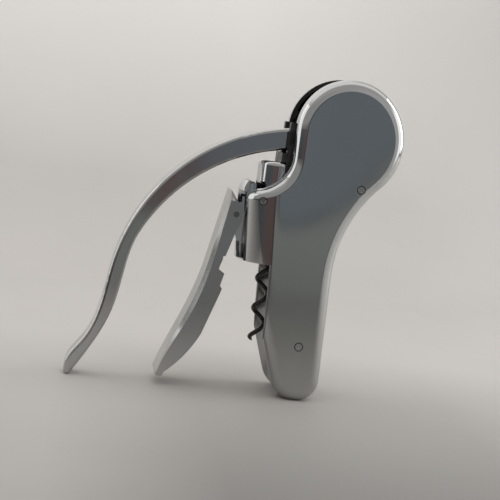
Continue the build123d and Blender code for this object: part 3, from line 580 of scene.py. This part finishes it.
def dress_nodes():
    shell = shell_metal("shell_plate")
    bored = barrel_metal("barrel_plate")
    lever = metal("lever_plate", (0.52, 0.525, 0.525), (0.47, 0.475, 0.475), 0.05, 0.10, bump=0.008)
    mirror = metal("mirror_plate", (0.66, 0.67, 0.68), (0.60, 0.61, 0.62), 0.03, 0.07, bump=0.01)
    satin = metal("satin_plate", (0.51, 0.52, 0.52), (0.46, 0.47, 0.47), 0.19, 0.25, bump=0.015)
    steel = metal("pin_steel", (0.50, 0.50, 0.49), (0.40, 0.40, 0.40), 0.18, 0.32, cloud=160.0)
    pin = metal("hinge_steel", (0.27, 0.27, 0.265), (0.21, 0.21, 0.205), 0.18, 0.32, cloud=160.0)
    dark = metal("dark_steel", (0.11, 0.11, 0.115), (0.05, 0.05, 0.052), 0.32, 0.5, cloud=160.0, bump=0.1)
    bronze = metal("bearing_bronze", (0.58, 0.42, 0.22), (0.46, 0.32, 0.16), 0.25, 0.4, cloud=140.0)
    black = coated("worm_coating", (0.012, 0.012, 0.012), (0.022, 0.021, 0.02), 0.24, 0.42)
    plastic = coated("nut_plastic", (0.035, 0.035, 0.038), (0.05, 0.05, 0.052), 0.35, 0.5)
    finish = {
        "near_housing_shell": shell, "far_housing_shell": shell, "lever_arm": lever, "barrel": bored,
        "carriage_plunger": mirror, "clamp_grip": satin, "rack": dark, "near_sector_gear": dark,
        "far_sector_gear": dark, "gear_pins": steel, "pivot_axle": dark, "pivot_washers": plastic,
        "worm": black, "worm_spindle": dark, "worm_nut": plastic, "nut_retaining_ring": dark,
        "worm_bush": bronze, "thrust_washers": bronze, "housing_screws": steel, "barrel_pins": steel,
        "hinge_pin": pin, "rack_screws": steel,
    }
    for name, material in finish.items():
        slots = NODES[name].data.materials
        slots.clear()
        slots.append(material)
    add_skin("near_front_skin", -1, shell)
    add_skin("far_front_skin", 1, shell)
    add_barrel(bored)


# Table top that sweeps up into a backdrop
FLOOR_FRONT = -0.32
SWEEP_START = 0.28
SWEEP_R = 0.25
SWEEP_STEPS = 12
WALL_TOP = 1.2
FLOOR_HALF = 1.5

# Its paint: pale round the object, with painted light that makes the wall lighter, most on the left, and a
# painted shadow that makes the table darker toward the camera. Pairs are the places on X, Y or Z between
# which a tone comes in or goes out
MOTTLE_SCALE = 9.0
TABLE_TONES = ((0.62, 0.595, 0.575), (0.59, 0.57, 0.55))
WALL_LIGHT_TONES = ((0.82, 0.80, 0.78), (0.70, 0.685, 0.67))
WALL_Z = (0.0, 0.32)
WALL_X = (-0.1, 0.35)
NEAR_SHADOW_TONE = (0.12, 0.118, 0.112)
NEAR_SHADOW_Y = (-0.28, 0.10)
NEAR_SHADOW_X = (0.10, 0.24)
LEVER_SIDE_SHARE = 0.45
LEVER_SIDE_X = (-0.10, -0.03)
FAR_LEFT_X = (-0.30, -0.18)
FLOOR_ROUGH = 0.6
GLOW_TINT = (1.0, 0.985, 0.96, 1.0)
GLOW_LEFT = 0.42
GLOW_RIGHT = 0.05
GLOW_X = (0.05, 0.30)


def floor_paint():
    material, nodes, shader, place = new_material("floor_paint")
    x, y, z = nodes.split(place)
    mottle = nodes.noise(place, MOTTLE_SCALE, CLOUD_DETAIL)
    table = nodes.mix(nodes.rise(mottle, *GRAIN_TURN), *TABLE_TONES)
    # Painted light: the wall is painted lighter than the table, most on the left
    upward = nodes.rise(z, *WALL_Z)
    pale = nodes.mix(upward, table, nodes.mix(nodes.rise(x, *WALL_X), *WALL_LIGHT_TONES))
    # Painted shadow on the table toward the camera, weaker in a band on the left
    beside = nodes.ramp(x, LEVER_SIDE_SHARE, 1.0, *LEVER_SIDE_X)
    share = nodes.math("MAXIMUM", beside, nodes.fall(x, *FAR_LEFT_X))
    near_shadow = nodes.product(nodes.fall(y, *NEAR_SHADOW_Y), nodes.fall(x, *NEAR_SHADOW_X), share)
    colour = nodes.mix(near_shadow, pale, NEAR_SHADOW_TONE)

    # Glow of the wall, which is seen and mirrored but lights nothing
    rays = nodes.add("ShaderNodeLightPath")
    seen = nodes.math("MAXIMUM", rays.outputs["Is Camera Ray"], rays.outputs["Is Glossy Ray"])
    glow = nodes.product(upward, nodes.ramp(x, GLOW_LEFT, GLOW_RIGHT, *GLOW_X), seen)
    nodes.set(shader, Base_Color=colour, Roughness=FLOOR_ROUGH)
    nodes.set(shader, Emission_Color=GLOW_TINT, Emission_Strength=glow)

    # The backdrop has one face, so that it hides nothing from behind
    behind = nodes.add("ShaderNodeNewGeometry").outputs["Backfacing"]
    clear = nodes.add("ShaderNodeBsdfTransparent")
    choice = nodes.add("ShaderNodeMixShader")
    for socket, source in zip(choice.inputs, (behind, shader.outputs["BSDF"], clear.outputs["BSDF"])):
        nodes.feed(socket, source)
    output = [node for node in nodes.tree.nodes if node.type == "OUTPUT_MATERIAL"][0]
    nodes.set(output, Surface=choice.outputs["Shader"])
    return material


def add_floor():
    profile = [(FLOOR_FRONT, GROUND_Z), (SWEEP_START, GROUND_Z)]
    for step in range(1, SWEEP_STEPS + 1):
        angle = math.radians(90.0 * step / SWEEP_STEPS)
        y = SWEEP_START + SWEEP_R * math.sin(angle)
        profile.append((y, GROUND_Z + SWEEP_R * (1 - math.cos(angle))))
    profile.append((SWEEP_START + SWEEP_R, WALL_TOP))
    points = [(side * FLOOR_HALF, y, z) for y, z in profile for side in (-1, 1)]
    faces = [(2 * i, 2 * i + 1, 2 * i + 3, 2 * i + 2) for i in range(len(profile) - 1)]
    mesh = bpy.data.meshes.new("floor")
    mesh.from_pydata(points, [], faces)
    mesh.shade_smooth()
    floor = add_object("floor", mesh, floor_paint())


# Tints of the lights
WARM_LIGHT = (1.0, 0.985, 0.96)
COOL_LIGHT = (0.95, 0.98, 1.0)
PALE_LIGHT = (1.0, 0.99, 0.97)


def area_light(name, place, aim, size, power, colour, mirrored=True):
    """Soft light, in metres and watts. The plated faces show it where mirrored is set."""
    data = bpy.data.lights.new(name, "AREA")
    data.shape = "RECTANGLE"
    data.size, data.size_y = size
    data.energy = power
    data.color = colour
    light = bpy.data.objects.new(name, data)
    light.location = place
    light.rotation_euler = (Vector(aim) - Vector(place)).to_track_quat("-Z", "Y").to_euler()
    light.visible_glossy = mirrored
    bpy.context.scene.collection.objects.link(light)


def add_lights():
    area_light(
        "top_soft", place=(-0.28, 0.10, 1.05), aim=(-0.05, 0.30, 0.0), size=(2.4, 1.6), power=10.0,
        colour=WARM_LIGHT, mirrored=False,
    )
    area_light(
        "right_window", place=(0.85, 0.12, 0.35), aim=(0.0, 0.1, 0.02), size=(0.35, 0.7), power=2.5,
        colour=COOL_LIGHT,
    )
    area_light(
        "left_soft", place=(-0.95, 0.2, 0.3), aim=(0.0, 0.1, 0.0), size=(0.8, 0.7), power=1.5,
        colour=PALE_LIGHT,
    )


# Room that the plated faces mirror. Pairs are the values of a direction's X, Y or Z between which a part of
# the room comes in or goes out
SIDE_TONES = ((0.36, 0.355, 0.345), (0.50, 0.495, 0.485))
SIDE_X = (-0.2, 0.3)
PLAIN_TONE = (0.50, 0.488, 0.473)

# Dark opening on the camera's side: its middle, and as cosines how far from there its inside, its dark frame
# and its fade into the room reach
OPENING = Vector((0.138, -0.985, -0.104))
OPENING_INSIDE = math.cos(math.radians(11.0))
OPENING_FRAME = math.cos(math.radians(14.0))
OPENING_END = math.cos(math.radians(18.0))
FRAME_TONE = (0.05, 0.045, 0.042)
DEEP_TONE = (0.165, 0.182, 0.2)

# Table's top and dark edge in the opening, along a line that bends up on the right, and a warm patch above
TABLE_TOP_TONE = (0.225, 0.232, 0.22)
TABLE_TOP_Z = (-0.0972, -0.0952)
TABLE_EDGE_TONE = (0.105, 0.115, 0.115)
TABLE_EDGE_IN = (-0.101, -0.099)
TABLE_EDGE_OUT = (-0.095, -0.093)
TABLE_BEND_X = 0.18
TABLE_BEND = 10.5
WARM_TONE = (0.15, 0.095, 0.085)
WARM_X_IN = (0.035, 0.06)
WARM_X_OUT = (0.085, 0.125)
WARM_Z_IN = (-0.105, -0.085)
WARM_Z_OUT = (-0.05, -0.035)

# Furniture below eye level on the lever's side
LOW_TONES = ((0.075, 0.085, 0.09), (0.115, 0.085, 0.08))
LOW_TONES_X = (-0.72, -0.5)
LOW_X = (-0.10, -0.04)
LOW_Y = (-0.30, -0.08)
LOW_Z = (-0.03, 0.10)

# Ceiling, dimmer toward the camera, and a window on the right
CEILING_TONES = ((0.46, 0.443, 0.425), (1.0, 0.985, 0.96))
CEILING_Y = (-0.34, -0.10)
CEILING_Z = (0.45, 0.7)
WINDOW_TONE = (1.40, 1.39, 1.37)
WINDOW_X = (0.74, 0.80)
WINDOW_Z_IN = (-0.26, -0.22)
WINDOW_Z_OUT = (0.40, 0.55)


def opening_view(nodes, x, z):
    """What is seen through the opening."""
    bend = nodes.math("POWER", nodes.math("MAXIMUM", nodes.math("SUBTRACT", x, TABLE_BEND_X), 0.0), 2.0)
    over = nodes.math("SUBTRACT", z, nodes.product(bend, TABLE_BEND))
    view = nodes.mix(nodes.rise(over, *TABLE_TOP_Z), TABLE_TOP_TONE, DEEP_TONE)
    edge = nodes.product(nodes.rise(over, *TABLE_EDGE_IN), nodes.fall(over, *TABLE_EDGE_OUT))
    view = nodes.mix(edge, view, TABLE_EDGE_TONE)
    warm = nodes.product(
        nodes.fall(x, *WARM_X_OUT), nodes.rise(x, *WARM_X_IN),
        nodes.fall(z, *WARM_Z_OUT), nodes.rise(z, *WARM_Z_IN),
    )
    return nodes.mix(warm, view, WARM_TONE)


def add_world():
    """Room: pale all round, with a dim opening on the camera's side that has a table's edge across it."""
    world = bpy.data.worlds.new("room")
    world.use_nodes = True
    nodes = Nodes(world.node_tree)
    output = nodes.add("ShaderNodeOutputWorld")
    background = nodes.add("ShaderNodeBackground")
    nodes.set(output, Surface=background.outputs["Background"])
    rays = nodes.add("ShaderNodeLightPath")
    glossy = rays.outputs["Is Glossy Ray"]
    direction = nodes.add("ShaderNodeTexCoord").outputs["Generated"]
    x, y, z = nodes.split(direction)
    dot = nodes.add("ShaderNodeVectorMath", operation="DOT_PRODUCT")
    nodes.feed(dot.inputs[0], direction)
    nodes.feed(dot.inputs[1], OPENING.normalized())
    toward = dot.outputs["Value"]

    sides = nodes.mix(nodes.rise(x, *SIDE_X), *SIDE_TONES)
    low = nodes.product(nodes.fall(z, *LOW_Z), nodes.fall(x, *LOW_X), nodes.fall(y, *LOW_Y))
    sides = nodes.mix(low, sides, nodes.mix(nodes.rise(x, *LOW_TONES_X), *LOW_TONES))
    inside = nodes.rise(toward, OPENING_FRAME, OPENING_INSIDE)
    opening = nodes.rise(toward, OPENING_END, OPENING_FRAME)
    room = nodes.mix(opening, sides, nodes.mix(inside, FRAME_TONE, opening_view(nodes, x, z)))

    above = nodes.product(nodes.rise(z, *CEILING_Z), glossy)
    room = nodes.mix(above, room, nodes.mix(nodes.rise(y, *CEILING_Y), *CEILING_TONES))
    window = nodes.product(
        nodes.rise(x, *WINDOW_X), glossy, nodes.rise(z, *WINDOW_Z_IN), nodes.fall(z, *WINDOW_Z_OUT),
    )
    room = nodes.mix(window, room, WINDOW_TONE)
    colour = nodes.mix(rays.outputs["Is Camera Ray"], room, PLAIN_TONE)
    nodes.set(background, Color=colour, Strength=1.0)
    bpy.context.scene.world = world


add_camera()
dress_nodes()
add_floor()
add_lights()
add_world()
bpy.context.scene.view_settings.view_transform = "Standard"
